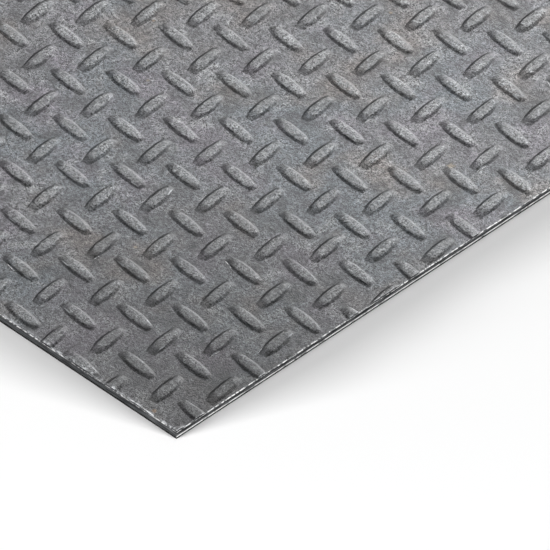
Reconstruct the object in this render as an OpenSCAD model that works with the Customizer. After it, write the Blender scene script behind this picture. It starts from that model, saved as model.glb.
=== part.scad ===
// Checker steel plate: a cut piece of hot-rolled floor plate, one solid with its raised lugs.
// Origin: centre of the underside. X runs along the length, Y along the width, Z up through the lugs.

/* [Plate] */
// Length of the plate, along X
plate_length = 500; // [100:10:1000]
// Width of the plate, along Y
plate_width = 500; // [100:10:1000]
// Thickness of the plate between the lugs
plate_thickness = 5; // [3:0.5:12]
// Radius of the lower arris, rolled over by the shear
arris_radius = 0.6; // [0.2:0.1:1.4]

/* [Lug] */
// Height of a lug above the plate
lug_height = 1.1; // [0.8:0.1:2.5]
// Length of a lug's foot between its two squared-off ends
lug_length = 26; // [16:0.5:32]
// Width of a lug's foot across its middle
lug_width = 8.8; // [6:0.2:12]
// Width of a lug's foot at its ends
lug_end_width = 5.2; // [1:0.2:5.8]
// Horizontal run of the flank along each side
flank_run = 1.8; // [0.6:0.1:2.8]
// Horizontal run of the short ramp at a lug's toe
toe_run = 3.4; // [1:0.1:7]
// Horizontal run of the long ramp at a lug's heel
heel_run = 5.8; // [1:0.1:7]

/* [Pattern] */
// Spacing of like lugs along a row
row_pitch = 30; // [26:0.5:50]
// Spacing of rows of like lugs
cross_pitch = 39; // [32:0.5:60]
// Angle by which the rows fall away from the length
row_angle = 44.5; // [0:0.5:90]
// Angle by which a lug rises or falls from its row
lug_angle = 52; // [40:0.5:60]
// Shift of the pattern along its rows, where the plate happened to be cut
row_shift = -7.3; // [-15:0.1:15]
// Shift of the pattern across its rows
cross_shift = -7; // [-20:0.1:20]

/* [Hidden] */
mill_scale = "#74767a";
round_fn = 96;        // segments on a preview circle
flank_fn = 384;       // segments on the wide cones that the flanks belong to
sink = 0.4;           // how deep a lug's foot is rooted in the plate

// The side arc of a lug's foot passes through both ends and the middle.
side_drop = (lug_width - lug_end_width) / 2;
side_radius = (pow(lug_length / 2, 2) + pow(side_drop, 2)) / (2 * side_drop);
side_offset = side_radius - lug_width / 2;

// Enough rows and places to cover the plate's corners at any angle.
plate_reach = norm([plate_length, plate_width]) / 2 + lug_length;
row_count = ceil(plate_reach / cross_pitch);
place_count = ceil(plate_reach / row_pitch);

// How far a face that leans in by run over the lug's height has spread by the time it reaches the root.
function at_root(run) = run * sink / lug_height;

// Where a lug stands: p along the rows and q across them, in plate axes.
function spot(p, q) = [
    p * cos(row_angle) + q * sin(row_angle),
    -p * sin(row_angle) + q * cos(row_angle)
];

// A lug whose box would miss the plate is left out.
function touches(c) =
    abs(c[0]) < (plate_length + lug_length) / 2 && abs(c[1]) < (plate_width + lug_length) / 2;

// Half of a lug's long flank: a shallow cone, standing off the lug's axis.
module flank_cone(side) {
    translate([0, -side * side_offset, -sink])
        cylinder(
            h = sink + lug_height,
            r1 = side_radius + at_root(flank_run),
            r2 = side_radius - flank_run,
            $fn = flank_fn
        );
}

// The lug's side view: flat top, a ramp down to the heel at the left and one to the toe at the right.
module ramp_profile() {
    half_length = lug_length / 2;
    polygon([
        [-half_length - at_root(heel_run), -sink],
        [half_length + at_root(toe_run), -sink],
        [half_length - toe_run, lug_height],
        [heel_run - half_length, lug_height]
    ]);
}

// One lug, its foot at z = 0, its toe towards X.
module lug() {
    intersection() {
        flank_cone(1);
        flank_cone(-1);
        rotate([90, 0, 0])
            linear_extrude(height = 2 * lug_width, center = true)
                ramp_profile();
    }
}

// Every lug of one hand: turn is +1 for those that rise from the row and -1 for those that fall.
module lug_set(turn) {
    half_cell = turn > 0 ? 0 : 0.5;
    for (row = [-row_count : row_count], place = [-place_count : place_count]) {
        centre = spot(
            row_shift + (place + half_cell) * row_pitch,
            cross_shift + (row + half_cell) * cross_pitch
        );
        if (touches(centre))
            translate([centre[0], centre[1], plate_thickness])
                rotate(turn * lug_angle - row_angle)
                    lug();
    }
}

// Cross-section of the blank: square upper arrises, rolled-over lower ones.
module blank_section(width) {
    corner = width / 2 - arris_radius;
    translate([-width / 2, arris_radius])
        square([width, plate_thickness - arris_radius]);
    translate([-corner, 0])
        square([2 * corner, plate_thickness]);
    for (side = [-1, 1])
        translate([side * corner, arris_radius])
            circle(r = arris_radius, $fn = round_fn);
}

// The flat blank: its two cross-sections, swept along the length and along the width.
module blank() {
    intersection() {
        rotate([90, 0, 0])
            linear_extrude(height = plate_width, center = true)
                blank_section(plate_length);
        rotate([90, 0, 90])
            linear_extrude(height = plate_length, center = true)
                blank_section(plate_width);
    }
}

// The lugs that stand on the plate, cut off flush where the shear went through them.
module trimmed_lugs() {
    intersection() {
        union() {
            lug_set(1);
            lug_set(-1);
        }
        translate([-plate_length / 2, -plate_width / 2, plate_thickness - sink])
            cube([plate_length, plate_width, sink + lug_height]);
    }
}

module checker_plate() {
    color(mill_scale) {
        blank();
        trimmed_lugs();
    }
}

checker_plate();
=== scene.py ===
import math

import bmesh
import bpy
from mathutils import Matrix, Vector, noise


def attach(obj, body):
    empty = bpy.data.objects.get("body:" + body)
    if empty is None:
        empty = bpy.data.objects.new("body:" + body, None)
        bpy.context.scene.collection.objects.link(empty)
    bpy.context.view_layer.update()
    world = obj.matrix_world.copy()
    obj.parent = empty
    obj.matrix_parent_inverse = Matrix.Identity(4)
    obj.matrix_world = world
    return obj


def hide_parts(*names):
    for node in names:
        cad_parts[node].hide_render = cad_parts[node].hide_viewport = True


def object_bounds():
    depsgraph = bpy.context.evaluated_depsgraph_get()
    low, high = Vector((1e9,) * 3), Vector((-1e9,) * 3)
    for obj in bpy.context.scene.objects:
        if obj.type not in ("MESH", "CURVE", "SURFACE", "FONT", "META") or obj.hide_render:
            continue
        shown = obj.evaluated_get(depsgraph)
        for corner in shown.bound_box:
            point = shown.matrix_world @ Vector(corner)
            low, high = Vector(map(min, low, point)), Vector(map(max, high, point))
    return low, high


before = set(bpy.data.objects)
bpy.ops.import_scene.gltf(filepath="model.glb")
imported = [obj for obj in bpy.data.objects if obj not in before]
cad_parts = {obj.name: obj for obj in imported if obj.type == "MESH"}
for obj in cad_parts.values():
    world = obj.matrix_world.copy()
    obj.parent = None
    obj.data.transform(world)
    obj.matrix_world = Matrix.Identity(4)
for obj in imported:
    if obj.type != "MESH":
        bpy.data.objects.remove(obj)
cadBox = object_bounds()
mm = 0.001
print("frame loaded")


def linear(hexColor):
    # sRGB hex to the linear colour that the sockets take
    channels = [int(hexColor[i:i + 2], 16) / 255 for i in (0, 2, 4)]
    return [c / 12.92 if c <= 0.04045 else ((c + 0.055) / 1.055) ** 2.4 for c in channels] + [1.0]


def addNode(tree, kind, inputs=(), **settings):
    # inputs is a list in the order of the visible sockets, where None leaves one as it is, or a
    # dictionary by name; each value is a number, a colour, an output socket, or a node whose first
    # visible output is meant
    node = tree.nodes.new(kind)
    for key, value in settings.items():
        setattr(node, key, value)
    visible = [socket for socket in node.inputs if socket.enabled]
    if isinstance(inputs, dict):
        pairs = [(next(s for s in visible if s.name == name), value) for name, value in inputs.items()]
    else:
        pairs = [(socket, value) for socket, value in zip(visible, inputs) if value is not None]
    for socket, value in pairs:
        if isinstance(value, bpy.types.Node):
            value = next(output for output in value.outputs if output.enabled)
        if isinstance(value, bpy.types.NodeSocket):
            tree.links.new(value, socket)
        else:
            socket.default_value = value
    return node


# The plate: a sheet sheared on all four sides, with lugs of two hands rolled into it in rows.
# A lug is a lens with squared-off ends: a short steep toe and a long heel.
plate = {
    "thickness": 5.0,
    "pointStep": 2.5,           # spacing of points along an edge
    # up the cut: inset, height, and how far the face wanders in; from below, the rolled-over
    # arris, a straight band, the torn face and the nicked upper arris
    "cut": [(0.6, 0.0, 0.0), (0.35, 0.08, 0.0), (0.15, 0.25, 0.0), (0.04, 0.48, 0.0),
            (0.0, 0.8, 0.0), (0.0, 1.7, 0.0), (0.05, 1.85, 0.05), (0.08, 4.2, 0.05),
            (0.1, 4.65, 0.12), (0.45, 5.0, 0.12)],
    "wanderSize": 11.0,
    "wanderBias": 0.2,          # added to the noise: the more, the less of the face stays straight
    "lugLength": 26.0,
    "lugWidth": 8.8,
    "lugEndWidth": 5.2,
    "lugHeight": 1.1,
    "lugEndBulge": 0.3,
    "lugSideSteps": 4,
    # up a lug: inset of its sides, of its toe and of its heel, and height; a skirt under the
    # sheet's face, the foot, halfway up, the shoulder and the worn top's border
    "lugRings": [(-0.6, -0.5, -0.5, -0.02), (-0.25, 0.0, 0.0, 0.015), (0.75, 1.3, 3.0, 0.55),
                 (1.5, 3.1, 5.9, 1.0), (2.0, 4.3, 6.9, 1.085)],
    "rowPitch": 30.0,
    "crossPitch": 39.0,
    "rowAngle": 44.5,           # by which the rows fall away from X
    "lugAngle": 52.0,           # by which a lug leans from its row
    "rowShift": -7.3,
    "crossShift": -7.0,
    "trim": 0.02,               # the lugs are cut just inside the sheet's edge
    "shearHeight": 20.0,        # well past the lugs, above and below
    "ragged": 1.4,              # a lug's outline strays by up to about a quarter of this
    "raggedSize": 5.0,
    "creaseAngle": 40.0,        # faces that meet more sharply than this look crisp
    "uprightBelow": 0.8,        # a face whose normal rises less than this belongs to the cut
}


def makeLug():
    c = plate
    halfLength, halfWidth = c["lugLength"] / 2, c["lugWidth"] / 2
    drop = halfWidth - c["lugEndWidth"] / 2
    radius = (halfLength ** 2 + drop ** 2) / (2 * drop)
    steps = c["lugSideSteps"]
    bm = bmesh.new()
    loops = []
    for sideInset, toeInset, heelInset, z in c["lugRings"]:
        # counter-clockwise from above: a side, the heel's point, the other side, the toe's point
        toe, heel = halfLength - toeInset, heelInset - halfLength
        side = []
        for i in range(steps + 1):
            x = toe + (heel - toe) * i / steps
            side.append((x, math.sqrt(radius ** 2 - x ** 2) - radius + halfWidth - sideInset))
        outline = side + [(heel - c["lugEndBulge"], 0)]
        outline += [(x, -y) for x, y in reversed(side)] + [(toe + c["lugEndBulge"], 0)]
        loops.append([bm.verts.new(Vector((x, y, z)) * mm) for x, y in outline])
    bm.faces.new(reversed(loops[0]))
    count = len(loops[0])
    for lower, upper in zip(loops, loops[1:]):
        for i in range(count):
            j = (i + 1) % count
            bm.faces.new((lower[i], lower[j], upper[j], upper[i]))
    # the top is barely crowned: its points meet a ridge along the middle
    top = loops[-1]
    left, heelPoint, right, toePoint = top[:steps + 1], top[steps + 1], top[-2:steps + 1:-1], top[-1]
    ridge = [bm.verts.new((point.co.x, 0, c["lugHeight"] * mm)) for point in left]
    for i in range(steps):
        bm.faces.new((left[i], left[i + 1], ridge[i + 1], ridge[i]))
        bm.faces.new((ridge[i], ridge[i + 1], right[i + 1], right[i]))
    for corners in ((left[-1], heelPoint, ridge[-1]), (heelPoint, right[-1], ridge[-1]),
                    (right[0], toePoint, ridge[0]), (toePoint, left[0], ridge[0])):
        bm.faces.new(corners)
    bmesh.ops.recalc_face_normals(bm, faces=bm.faces)
    mesh = bpy.data.meshes.new("lugShape")
    bm.to_mesh(mesh)
    bm.free()
    return bpy.data.objects.new("lugShape", mesh)


def makeSheet():
    low, high = cadBox[0] / mm, cadBox[1] / mm
    bm = bmesh.new()
    loops = []
    for inset, z, wander in plate["cut"]:
        x0, y0, x1, y1 = low.x + inset, low.y + inset, high.x - inset, high.y - inset
        corners = [Vector(corner) for corner in ((x0, y0), (x1, y0), (x1, y1), (x0, y1))]
        loop = []
        for side, (a, b) in enumerate(zip(corners, corners[1:] + corners[:1])):
            along = (b - a).normalized()
            inward = Vector((-along.y, along.x))
            steps = round((high.x - low.x if side % 2 == 0 else high.y - low.y) / plate["pointStep"])
            for i in range(steps):
                place = a + (b - a) * i / steps
                if i > 0:
                    size = plate["wanderSize"]
                    spot = Vector((place.x / size, place.y / size, z + side))
                    strays = max(0.0, noise.noise(spot) + plate["wanderBias"])
                    place = place + inward * wander * strays
                loop.append(bm.verts.new(Vector((place.x, place.y, z)) * mm))
        loops.append(loop)
    count = len(loops[0])
    for lower, upper in zip(loops, loops[1:]):
        for i in range(count):
            j = (i + 1) % count
            bm.faces.new((lower[i], lower[j], upper[j], upper[i]))
    bm.faces.new(reversed(loops[0]))
    bm.faces.new(loops[-1])
    bmesh.ops.recalc_face_normals(bm, faces=bm.faces)
    mesh = bpy.data.meshes.new("sheetShape")
    bm.to_mesh(mesh)
    bm.free()
    return bpy.data.objects.new("sheetShape", mesh)


def lugPatternTree():
    tree = bpy.data.node_groups.new("lugPattern", "GeometryNodeTree")
    sockets = {
        "Sheet": "Geometry", "Lug": "Object", "Skin": "Material", "Cut": "Material",
        "Rows": "Int", "Places": "Int", "Pitch": "Vector", "Shift": "Vector",
        "Row Turn": "Vector", "Lug Turn": "Vector", "Shear Size": "Vector",
        "Ragged": "Vector", "Ragged Size": "Float", "Crease Angle": "Float", "Upright Below": "Float",
    }
    for name, kind in sockets.items():
        tree.interface.new_socket(name, in_out="INPUT", socket_type="NodeSocket" + kind)
    tree.interface.new_socket("Plate", in_out="OUTPUT", socket_type="NodeSocketGeometry")
    start = addNode(tree, "NodeGroupInput").outputs

    # a grid of spots, one for each lug of a hand
    last = addNode(tree, "ShaderNodeCombineXYZ", [
        addNode(tree, "ShaderNodeMath", [start["Places"], 1.0], operation="SUBTRACT"),
        addNode(tree, "ShaderNodeMath", [start["Rows"], 1.0], operation="SUBTRACT")])
    span = addNode(tree, "ShaderNodeSeparateXYZ", [
        addNode(tree, "ShaderNodeVectorMath", [last, start["Pitch"]], operation="MULTIPLY")])
    spots = addNode(tree, "GeometryNodeMeshGrid", {
        "Size X": span.outputs["X"], "Size Y": span.outputs["Y"],
        "Vertices X": start["Places"], "Vertices Y": start["Rows"]})
    lugShape = addNode(tree, "GeometryNodeSetShadeSmooth", [
        addNode(tree, "GeometryNodeObjectInfo", [start["Lug"]]).outputs["Geometry"]])

    # lugs of the second hand stand half a pitch off and lean the other way
    hands = []
    for hand, halfPitch in ((1.0, 0.0), (-1.0, 0.5)):
        offset = addNode(tree, "ShaderNodeVectorMath", [
            start["Pitch"], (halfPitch,) * 3, start["Shift"]], operation="MULTIPLY_ADD")
        placed = addNode(tree, "GeometryNodeSetPosition", {"Geometry": spots, "Offset": offset})
        lean = addNode(tree, "ShaderNodeVectorMath", {
            "Vector": start["Lug Turn"], "Scale": hand}, operation="SCALE")
        hands.append(addNode(tree, "GeometryNodeInstanceOnPoints", {
            "Points": placed, "Instance": lugShape, "Rotation": lean}).outputs[0])
    both = addNode(tree, "GeometryNodeJoinGeometry")
    for hand in hands:
        tree.links.new(hand, both.inputs[0])
    rows = addNode(tree, "GeometryNodeTransform", {"Geometry": both, "Rotation": start["Row Turn"]})
    lugs = addNode(tree, "GeometryNodeRealizeInstances", [rows])

    # no two lugs are rolled quite alike: a noise from 0 to 1, less its middle, moves their points
    stray = addNode(tree, "ShaderNodeTexNoise", {
        "Scale": addNode(tree, "ShaderNodeMath", [1.0, start["Ragged Size"]], operation="DIVIDE"),
        "Detail": 1.0}).outputs["Color"]
    stray = addNode(tree, "ShaderNodeVectorMath", [stray, (0.5, 0.5, 0.5)], operation="SUBTRACT")
    stray = addNode(tree, "ShaderNodeVectorMath", [stray, start["Ragged"]], operation="MULTIPLY")
    lugs = addNode(tree, "GeometryNodeSetPosition", {"Geometry": lugs, "Offset": stray})

    # the shear went through the lugs in its way; what is left is one solid with the sheet
    shear = addNode(tree, "GeometryNodeMeshCube", {"Size": start["Shear Size"]})
    trimmed = addNode(tree, "GeometryNodeMeshBoolean", operation="INTERSECT", solver="MANIFOLD")
    flatSheet = addNode(tree, "GeometryNodeSetShadeSmooth", {
        "Geometry": start["Sheet"], "Shade Smooth": False})
    rolled = addNode(tree, "GeometryNodeMeshBoolean", operation="UNION", solver="MANIFOLD")
    for source, target in ((shear, trimmed), (lugs, trimmed), (trimmed, rolled), (flatSheet, rolled)):
        tree.links.new(source.outputs[0], target.inputs["Mesh 2"])

    bend = addNode(tree, "GeometryNodeInputMeshEdgeAngle").outputs["Unsigned Angle"]
    creased = addNode(tree, "FunctionNodeCompare", [
        bend, start["Crease Angle"]], operation="GREATER_THAN")
    crisp = addNode(tree, "GeometryNodeSetShadeSmooth", {
        "Geometry": rolled, "Selection": creased, "Shade Smooth": False}, domain="EDGE")
    normal = addNode(tree, "ShaderNodeSeparateXYZ", [addNode(tree, "GeometryNodeInputNormal")])
    rise = addNode(tree, "ShaderNodeMath", [normal.outputs["Z"]], operation="ABSOLUTE")
    upright = addNode(tree, "FunctionNodeCompare", [
        rise, start["Upright Below"]], operation="LESS_THAN")
    whole = addNode(tree, "GeometryNodeRealizeInstances", [crisp])
    skinned = addNode(tree, "GeometryNodeSetMaterial", {"Geometry": whole, "Material": start["Skin"]})
    finished = addNode(tree, "GeometryNodeSetMaterial", {
        "Geometry": skinned, "Selection": upright, "Material": start["Cut"]})
    addNode(tree, "NodeGroupOutput", [finished])
    return tree


def makePlate(skin, cut):
    c = plate
    sheet, lugShape = makeSheet(), makeLug()
    for helper in (sheet, lugShape):
        bpy.context.scene.collection.objects.link(helper)
    size = (cadBox[1] - cadBox[0]) / mm
    # enough rows and places to cover the sheet's corners whichever way the rows run, an odd
    # number of each, so that one lug stands at the middle before the shift
    rows = 2 * math.ceil(size.xy.length / 2 / c["crossPitch"]) + 1
    places = 2 * math.ceil(size.xy.length / 2 / c["rowPitch"]) + 1
    values = {
        "Lug": lugShape,
        "Skin": skin,
        "Cut": cut,
        "Rows": rows,
        "Places": places,
        "Pitch": Vector((c["rowPitch"], c["crossPitch"], 0)) * mm,
        "Shift": Vector((c["rowShift"], c["crossShift"], c["thickness"])) * mm,
        "Row Turn": Vector((0, 0, -math.radians(c["rowAngle"]))),
        "Lug Turn": Vector((0, 0, math.radians(c["lugAngle"]))),
        "Shear Size": Vector((size.x - 2 * c["trim"], size.y - 2 * c["trim"], c["shearHeight"])) * mm,
        "Ragged": Vector((c["ragged"], c["ragged"], 0)) * mm,
        "Ragged Size": c["raggedSize"] * mm,
        "Crease Angle": math.radians(c["creaseAngle"]),
        "Upright Below": c["uprightBelow"],
    }
    tree = lugPatternTree()
    modifier = sheet.modifiers.new("lugPattern", "NODES")
    modifier.node_group = tree
    for item in tree.interface.items_tree:
        if item.in_out == "INPUT" and item.name in values:
            modifier[item.identifier] = values[item.name]
    evaluated = sheet.evaluated_get(bpy.context.evaluated_depsgraph_get())
    mesh = bpy.data.meshes.new_from_object(evaluated)
    made = bpy.data.objects.new("plate_with_lugs", mesh)
    bpy.context.scene.collection.objects.link(made)
    for helper in (sheet, lugShape):
        bpy.data.objects.remove(helper)
    print("plate made:", len(mesh.polygons), "faces")
    return made


def addPatterns(tree, patterns):
    # cloudy noises from 0 to 1, one for each row: the size of its blotches in mm, its detail,
    # roughness and swirl, and how far it is drawn out along X, Y and Z
    place = addNode(tree, "ShaderNodeTexCoord").outputs["Object"]
    own = addNode(tree, "ShaderNodeVectorMath", {"Vector": place, "Scale": 1 / mm}, operation="SCALE")
    made = {"place": own.outputs[0]}
    stepX, stepY = 37.0, -23.0      # mm between one noise and the next, so that they don't line up
    for seed, (name, (size, detail, roughness, swirl, drawn)) in enumerate(patterns.items()):
        moved = addNode(tree, "ShaderNodeMapping", {
            "Vector": own, "Location": (stepX * seed, stepY * seed, 0),
            "Scale": [1 / d for d in drawn]})
        made[name] = addNode(tree, "ShaderNodeTexNoise", {
            "Vector": moved, "Scale": 1 / size, "Detail": detail, "Roughness": roughness,
            "Distortion": swirl}).outputs[0]
    return made


# Hot-rolled mill scale on mild steel: a mottled, faintly bluish grey oxide skin with a dull gritty
# gloss. It is rubbed paler on top of the lugs and along the edges. Painted shade darkens it down the
# lugs' sides and towards the near corner. A little dried dirt lies on it.
millScale = {
    "base": "3d3d3f",
    "blue": "3a3d40",
    "violet": "3e3c40",
    "brown": "403d3c",
    "dark": "222324",
    "bright": "555656",
    "worn": "4b4c4d",
    "rubbed": "858789",
    "dirt": "5b564d",
    "rust": "4d4035",
    "rim": "2c2723",
    "patterns": {
        "patch": (90.0, 2.0, 0.5, 0.0, (1, 1, 1)),
        "tint": (52.0, 4.0, 0.6, 0.0, (1, 1, 1)),
        "smudge": (17.0, 4.0, 0.6, 0.8, (1, 1, 1)),
        "cloud": (7.0, 4.0, 0.62, 0.6, (1, 1, 1)),
        "rub": (3.0, 4.0, 0.55, 0.0, (1, 1, 1)),
        "flake": (2.0, 3.0, 0.55, 0.0, (1, 1, 1)),
        "chip": (2.2, 3.0, 0.65, 0.0, (1, 1, 1)),
        # real grit is about 0.1 to 0.4 mm: these two are drawn about four times coarser, so that
        # they show
        "grit": (1.5, 2.0, 0.7, 0.0, (1, 1, 1)),
        "fineGrit": (0.7, 1.0, 0.5, 0.0, (1, 1, 1)),
    },
    # tints first, then darker and lighter scale: pattern, where it starts, where it is full, its
    # share there, and its colour
    "layers": [("patch", 0.56, 0.36, 1.0, "blue"), ("tint", 0.52, 0.66, 1.0, "brown"),
               ("tint", 0.48, 0.36, 1.0, "violet"), ("smudge", 0.47, 0.28, 0.75, "dark"),
               ("smudge", 0.55, 0.75, 0.6, "bright"), ("cloud", 0.46, 0.30, 0.6, "dark"),
               ("cloud", 0.54, 0.72, 0.5, "bright")],
    # a row of two is where a mask starts and where it is full, and a row of four adds the values there
    "straggle": (0.25, 0.75, -0.16, 0.16),      # mm by which the borders of wear stray up and down
    "wornFrom": (0.3, 0.1),     # mm under a lug's top
    "wornPatch": (0.35, 0.6),
    "sideFrom": (0.01, 0.12),   # mm above the sheet
    "sideTo": (0.04, 0.35),     # mm under a lug's top, and mm above the sheet
    "paintedSideShade": 0.56,          # painted shade: how bright a lug's side is drawn, against its top
    "darkestPoint": (-205.0, -250.0, 5.0),      # where the painted shade is darkest, by the near corner
    "shadeReach": (10.0, 208.0),            # from there, where the painted shade starts to thin and where it is gone
    "cornerShade": 0.40,         # how bright the scale is drawn there, against the rest
    "gritShare": 0.55,
    "fineGritShare": 0.45,
    "gritPatch": (0.38, 0.58, 0.5, 1.1),
    "gritDepth": (0.37, 0.63, -0.95, 1.35),
    "clumpDepth": (0.32, 0.68, 0.70, 1.30),
    "edgeRub": (2.4, 0.9),      # width of the rubbed strip along the X and Y edges
    "edgeRubFull": 0.4,         # the part of its width, next to the edge, that is rubbed right through
    "edgeRubBroken": (0.44, 0.60, 0.05, 0.7),
    # dabs of dirt: centre, size, and how rusty it is
    "dabs": [((17, -201), 4.6, 0.2), ((-51, -39), 2.6, 0.1), ((-157, -131), 2.8, 0.2),
             ((-246, -230), 3.0, 1.0), ((-12, -6), 2.0, 0.8), ((171, 96), 3.4, 0.6),
             ((-133, 188), 3.8, 0.8), ((88, -90), 2.2, 0.5)],
    # in dab radii: how far its outline strays, its darker rim, and its middle
    "dabSpill": (0.3, 0.7, -0.45, 0.45),
    "dabRim": (1.25, 0.9, 0.0, 0.5),
    "dabMiddle": (0.95, 0.6, 0.0, 0.8),
    "metallic": 0.75,
    "roughness": (0.6, 1.4, 0.36, 0.56),
    "gritBump": (0.8, 0.4),     # strength, and depth in mm
    "bumps": [("chip", 0.5, 0.35), ("cloud", 0.4, 0.6)],
}


def millScaleSteel():
    c = millScale
    material = bpy.data.materials.new("hotRolledMillScaleSteel")
    material.use_nodes = True
    tree = material.node_tree
    tree.nodes.clear()
    look = addPatterns(tree, c["patterns"])
    x, y, height = addNode(tree, "ShaderNodeSeparateXYZ", [look["place"]]).outputs

    color = linear(c["base"])
    for name, low, high, share, tone in c["layers"]:
        mask = addNode(tree, "ShaderNodeMapRange", [look[name], low, high, 0.0, share])
        color = addNode(tree, "ShaderNodeMix", [mask, color, linear(c[tone])], data_type="RGBA")

    # rubbed paler on top of the lugs; down their sides, painted shade makes them darker
    sheet = plate["thickness"]
    top = sheet + plate["lugHeight"]
    straggle = addNode(tree, "ShaderNodeMapRange", [look["flake"], *c["straggle"]])
    level = addNode(tree, "ShaderNodeMath", [height, straggle], operation="ADD")
    worn = addNode(tree, "ShaderNodeMath", [
        addNode(tree, "ShaderNodeMapRange", [level, *[top - depth for depth in c["wornFrom"]]]),
        addNode(tree, "ShaderNodeMapRange", [look["rub"], *c["wornPatch"]])], operation="MULTIPLY")
    color = addNode(tree, "ShaderNodeMix", [worn, color, linear(c["worn"])], data_type="RGBA")
    side = addNode(tree, "ShaderNodeMath", [
        addNode(tree, "ShaderNodeMapRange", [height, *[sheet + rise for rise in c["sideFrom"]]]),
        addNode(tree, "ShaderNodeMapRange", [level, top - c["sideTo"][0], sheet + c["sideTo"][1]])],
        operation="MULTIPLY")
    shade = addNode(tree, "ShaderNodeMapRange", [side, 0.0, 1.0, 1.0, c["paintedSideShade"]])

    # painted shade: darker towards the near corner
    away = addNode(tree, "ShaderNodeVectorMath", [look["place"], c["darkestPoint"]], operation="DISTANCE")
    cornerShadeFactor = addNode(tree, "ShaderNodeMapRange", [away, *c["shadeReach"], c["cornerShade"], 1.0])
    shade = addNode(tree, "ShaderNodeMath", [shade, cornerShadeFactor], operation="MULTIPLY")

    # grit: dark pits and bright points, less of it where the scale lies smooth
    grit = addNode(tree, "ShaderNodeMath", [look["grit"], c["gritShare"]], operation="MULTIPLY")
    grit = addNode(tree, "ShaderNodeMath", [
        look["fineGrit"], c["fineGritShare"], grit], operation="MULTIPLY_ADD")
    gritty = addNode(tree, "ShaderNodeMapRange", [look["smudge"], *c["gritPatch"]])
    speckle = addNode(tree, "ShaderNodeMapRange", [grit, *c["gritDepth"]])
    speckle = addNode(tree, "ShaderNodeMath", [speckle, gritty, 1.0], operation="MULTIPLY_ADD")
    clump = addNode(tree, "ShaderNodeMapRange", [look["chip"], *c["clumpDepth"]])
    speckle = addNode(tree, "ShaderNodeMath", [speckle, clump], operation="MULTIPLY")
    shade = addNode(tree, "ShaderNodeMath", [shade, speckle], operation="MULTIPLY")
    color = addNode(tree, "ShaderNodeMix", [1.0, color, shade], data_type="RGBA", blend_type="MULTIPLY")

    # a bright broken strip where the edges rub against other things
    edges = (cadBox[1].x / mm, cadBox[1].y / mm)
    for across, edge, width in zip((x, y), edges, c["edgeRub"]):
        across = addNode(tree, "ShaderNodeMath", [across], operation="ABSOLUTE")
        full = edge - c["edgeRubFull"] * width
        rubbed = addNode(tree, "ShaderNodeMath", [
            addNode(tree, "ShaderNodeMapRange", [across, edge - width, full]),
            addNode(tree, "ShaderNodeMapRange", [look["chip"], *c["edgeRubBroken"]])],
            operation="MULTIPLY")
        color = addNode(tree, "ShaderNodeMix", [rubbed, color, linear(c["rubbed"])], data_type="RGBA")

    # dabs of dried dirt with a darker rim
    spill = addNode(tree, "ShaderNodeMapRange", [look["flake"], *c["dabSpill"]])
    level = addNode(tree, "ShaderNodeVectorMath", [look["place"], (1, 1, 0)], operation="MULTIPLY")
    for centre, size, rust in c["dabs"]:
        away = addNode(tree, "ShaderNodeVectorMath", [level, (*centre, 0)], operation="DISTANCE")
        away = addNode(tree, "ShaderNodeMath", [away, 2 / size, spill], operation="MULTIPLY_ADD")
        rim = addNode(tree, "ShaderNodeMapRange", [away, *c["dabRim"]])
        color = addNode(tree, "ShaderNodeMix", [rim, color, linear(c["rim"])], data_type="RGBA")
        dirt = addNode(tree, "ShaderNodeMix", [
            rust, linear(c["dirt"]), linear(c["rust"])], data_type="RGBA")
        middle = addNode(tree, "ShaderNodeMapRange", [away, *c["dabMiddle"]])
        color = addNode(tree, "ShaderNodeMix", [middle, color, dirt], data_type="RGBA")

    gloss = addNode(tree, "ShaderNodeMath", [look["cloud"], look["grit"]], operation="ADD")
    roughness = addNode(tree, "ShaderNodeMapRange", [gloss, *c["roughness"]])
    strength, depth = c["gritBump"]
    bump = addNode(tree, "ShaderNodeBump", {
        "Height": grit, "Strength": strength, "Distance": depth * mm})
    for name, strength, depth in c["bumps"]:
        bump = addNode(tree, "ShaderNodeBump", {
            "Height": look[name], "Strength": strength, "Distance": depth * mm, "Normal": bump})
    shader = addNode(tree, "ShaderNodeBsdfPrincipled", {
        "Base Color": color, "Metallic": c["metallic"], "Roughness": roughness, "Normal": bump})
    addNode(tree, "ShaderNodeOutputMaterial", [shader])
    return material


# Sheared mild steel: a rolled-over lower arris painted near-black as shade, a dark torn face with
# fine lines along it, and a bright broken line along the upper arris. The two sides that run along X
# have a darker torn face, above a thin burnished line. Both bright lines are bare steel drawn nearly
# white: a painted highlight.
shearedFace = {
    "shadeBlack": "020202",
    "torn": ("3e3f41", "202123"),       # on the sides that run along Y, and on those that run along X
    "streak": "7c7e80",
    # nearly white for both bright lines: bare steel with a painted highlight
    "burnishedHighlight": "fafafa",
    "patterns": {
        "streak": (0.9, 3.0, 0.6, 0.0, (12, 12, 1)),
        "along": (5.0, 4.0, 0.6, 0.0, (1, 1, 1)),
        "nick": (2.4, 4.0, 0.6, 0.0, (1, 1, 1)),
    },
    "streaks": (0.42, 0.68),    # where the lines in the torn face start and are full
    # heights up the cut: the arris painted black as shade ends and the burnished line starts, the line
    # ends, and the bright upper arris starts
    "shadeBlackBelow": 1.4,
    "lineTop": 2.35,
    "arrisFrom": 4.6,
    "fade": 0.1,                # over which one gives way to the next
    "arrisTo": (0.1, 0.02),     # above the sheet
    # how broken the line and the arris are: where the gaps end, where it is whole, and how bright
    # it is at each
    "lineBroken": (0.34, 0.5, 0.2, 1.0),
    "arrisBroken": (0.45, 0.55, 0.05, 1.0),
    "metallic": (0.9, 0.15),    # of the torn face and of the bright lines
    "roughness": (0.5, 0.28),
    "specular": 0.08,           # the arris painted black as shade is dull, and the bare steel gets its gloss as a metal
    "bump": (0.4, 0.2),         # strength, and depth in mm
}


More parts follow.
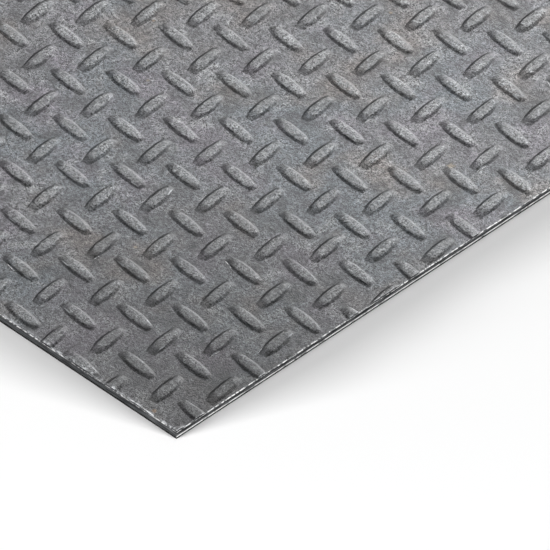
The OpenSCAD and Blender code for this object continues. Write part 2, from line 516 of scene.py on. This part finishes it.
def shearedSteel():
    c = shearedFace
    material = bpy.data.materials.new("shearedMildSteel")
    material.use_nodes = True
    tree = material.node_tree
    tree.nodes.clear()
    look = addPatterns(tree, c["patterns"])
    x, y, height = addNode(tree, "ShaderNodeSeparateXYZ", [look["place"]]).outputs

    # 1 on the two sides that run along X, and 0 on the other two
    sidesAlongX = addNode(tree, "ShaderNodeMath", [
        addNode(tree, "ShaderNodeMath", [y], operation="ABSOLUTE"),
        addNode(tree, "ShaderNodeMath", [x], operation="ABSOLUTE")], operation="GREATER_THAN")
    torn = addNode(tree, "ShaderNodeMix", [
        sidesAlongX, *[linear(tone) for tone in c["torn"]]], data_type="RGBA")
    streaks = addNode(tree, "ShaderNodeMapRange", [look["streak"], *c["streaks"]])
    color = addNode(tree, "ShaderNodeMix", [streaks, torn, linear(c["streak"])], data_type="RGBA")

    # two bright lines, drawn nearly white as a painted highlight: the burnished one, and the nicked
    # arris
    fade, sheet = c["fade"], plate["thickness"]
    line = addNode(tree, "ShaderNodeMath", [
        addNode(tree, "ShaderNodeMapRange", [height, c["shadeBlackBelow"], c["shadeBlackBelow"] + fade]),
        addNode(tree, "ShaderNodeMapRange", [
            height, c["lineTop"] + fade / 2, c["lineTop"] - fade / 2])], operation="MULTIPLY")
    line = addNode(tree, "ShaderNodeMath", [
        line, addNode(tree, "ShaderNodeMapRange", [look["along"], *c["lineBroken"]])],
        operation="MULTIPLY")
    line = addNode(tree, "ShaderNodeMath", [line, sidesAlongX], operation="MULTIPLY")
    arris = addNode(tree, "ShaderNodeMath", [
        addNode(tree, "ShaderNodeMapRange", [height, c["arrisFrom"] - fade, c["arrisFrom"]]),
        addNode(tree, "ShaderNodeMapRange", [height, *[sheet + rise for rise in c["arrisTo"]]])],
        operation="MULTIPLY")
    arris = addNode(tree, "ShaderNodeMath", [
        arris, addNode(tree, "ShaderNodeMapRange", [look["nick"], *c["arrisBroken"]])],
        operation="MULTIPLY")
    bright = addNode(tree, "ShaderNodeMath", [line, arris], operation="MAXIMUM")
    color = addNode(tree, "ShaderNodeMix", [bright, color, linear(c["burnishedHighlight"])], data_type="RGBA")
    # the rolled-over lower arris, painted near-black: painted shade
    below = addNode(tree, "ShaderNodeMapRange", [
        height, c["shadeBlackBelow"] + fade / 2, c["shadeBlackBelow"] - fade])
    color = addNode(tree, "ShaderNodeMix", [below, color, linear(c["shadeBlack"])], data_type="RGBA")

    metal = addNode(tree, "ShaderNodeMapRange", [bright, 0.0, 1.0, *c["metallic"]])
    metal = addNode(tree, "ShaderNodeMapRange", [below, 0.0, 1.0, metal, 0.0])

    strength, depth = c["bump"]
    bump = addNode(tree, "ShaderNodeBump", {
        "Height": look["streak"], "Strength": strength, "Distance": depth * mm})
    shader = addNode(tree, "ShaderNodeBsdfPrincipled", {
        "Base Color": color,
        "Metallic": metal,
        "Specular IOR Level": c["specular"],
        "Roughness": addNode(tree, "ShaderNodeMapRange", [bright, 0.0, 1.0, *c["roughness"]]),
        "Normal": bump})
    addNode(tree, "ShaderNodeOutputMaterial", [shader])
    return material


skin, cut = millScaleSteel(), shearedSteel()
print("materials made")
plateObject = makePlate(skin, cut)
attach(plateObject, "root")
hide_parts("checker_plate")

# A plain pale floor, well past every view.
floorSettings = {"radius": 40000.0, "sides": 64, "color": "f4f4f4", "roughness": 0.9, "specular": 0.2}


def makeFloor():
    c = floorSettings
    mesh = bpy.data.meshes.new("floor")
    bm = bmesh.new()
    bmesh.ops.create_circle(bm, cap_ends=True, segments=c["sides"], radius=c["radius"] * mm)
    bm.to_mesh(mesh)
    bm.free()
    material = bpy.data.materials.new("paleFloor")
    material.use_nodes = True
    shader = material.node_tree.nodes["Principled BSDF"]
    shader.inputs["Base Color"].default_value = linear(c["color"])
    shader.inputs["Roughness"].default_value = c["roughness"]
    shader.inputs["Specular IOR Level"].default_value = c["specular"]
    mesh.materials.append(material)
    made = bpy.data.objects.new("floor", mesh)
    bpy.context.scene.collection.objects.link(made)
    return made


floor = makeFloor()

# The camera: a very long lens, looking down across the near corner.
cameraSettings = {
    "azimuth": 49.331,          # from +Y towards +X, of the way it looks
    "elevation": 40.534,
    "roll": 4.049,
    "lens": 1047.3,
    "sensor": 36.0,
    "distance": 8476.0,         # from the near corner
    "aimRight": 52.26,          # where it looks, from the near corner, across the view
    "aimUp": 87.18,
    "clip": (0.1, 100.0),       # metres
}


def makeCamera():
    c = cameraSettings
    az, el, roll = (math.radians(c[key]) for key in ("azimuth", "elevation", "roll"))
    right = Vector((math.cos(az), -math.sin(az), 0))
    back = Vector((-math.cos(el) * math.sin(az), -math.cos(el) * math.cos(az), math.sin(el)))
    up = back.cross(right)
    turnedRight = right * math.cos(roll) + up * math.sin(roll)
    turnedUp = up * math.cos(roll) - right * math.sin(roll)
    corner = Vector((cadBox[0].x, cadBox[0].y, 0))
    data = bpy.data.cameras.new("camera")
    data.lens, data.sensor_width = c["lens"], c["sensor"]
    data.clip_start, data.clip_end = c["clip"]
    camera = bpy.data.objects.new("camera", data)
    camera.matrix_world = Matrix((turnedRight, turnedUp, back)).transposed().to_4x4()
    camera.matrix_world.translation = corner + (
        turnedRight * c["aimRight"] + turnedUp * c["aimUp"] + back * c["distance"]) * mm
    bpy.context.scene.collection.objects.link(camera)
    bpy.context.scene.camera = camera


makeCamera()

# Soft studio light. Four softboxes light only the plate: the large one low on one side shapes the
# lugs, and the two smallest glint on the sheared sides. Three, whose names start with floor, light
# only the floor: two lie very low along the near sides, so that a thin plate casts a wide soft
# shadow. Sizes and distances are in metres, power is in watts.
studio = {
    "world": 0.13,
    # azimuth from +Y towards +X, elevation, distance, width, height, power
    "floorLeft": (281, 2.6, 6.0, 1.9, 0.22, 3300),
    "floorRight": (170, 2.7, 6.0, 1.9, 0.24, 2880),
    "floorHigh": (0, 80, 3.0, 2.5, 2.5, 12),
    "keySoftbox": (76, 27, 2.8, 2.3, 1.85, 160),
    "fillSoftbox": (15, 60, 2.5, 1.6, 1.6, 44),
    "rightSoftbox": (140, 18, 3.0, 1.4, 0.8, 26),
    "leftSoftbox": (307, 34, 3.0, 1.4, 0.8, 10),
}


def makeLights():
    world = bpy.data.worlds.new("studio")
    bpy.context.scene.world = world
    world.use_nodes = True
    background = world.node_tree.nodes["Background"]
    background.inputs["Color"].default_value = (1, 1, 1, 1)
    background.inputs["Strength"].default_value = studio["world"]
    receivers = {}
    for lit, receiver in (("floor", floor), ("plate", plateObject)):
        receivers[lit] = bpy.data.collections.new(lit + "Lit")
        receivers[lit].objects.link(receiver)
    for name, values in studio.items():
        if name == "world":
            continue
        azimuth, elevation, distance, width, height, power = values
        az, el = math.radians(azimuth), math.radians(elevation)
        away = Vector((math.sin(az) * math.cos(el), math.cos(az) * math.cos(el), math.sin(el)))
        data = bpy.data.lights.new(name, "AREA")
        data.shape, data.size, data.size_y, data.energy = "RECTANGLE", width, height, power
        light = bpy.data.objects.new(name, data)
        light.location = away * distance
        light.rotation_mode = "QUATERNION"
        light.rotation_quaternion = away.to_track_quat("Z", "Y")    # it faces the plate's middle
        light.visible_camera = False
        bpy.context.scene.collection.objects.link(light)
        lit = "floor" if name.startswith("floor") else "plate"
        light.light_linking.receiver_collection = receivers[lit]
    bpy.context.scene.view_settings.view_transform = "Standard"


makeLights()
print("camera and lights set")
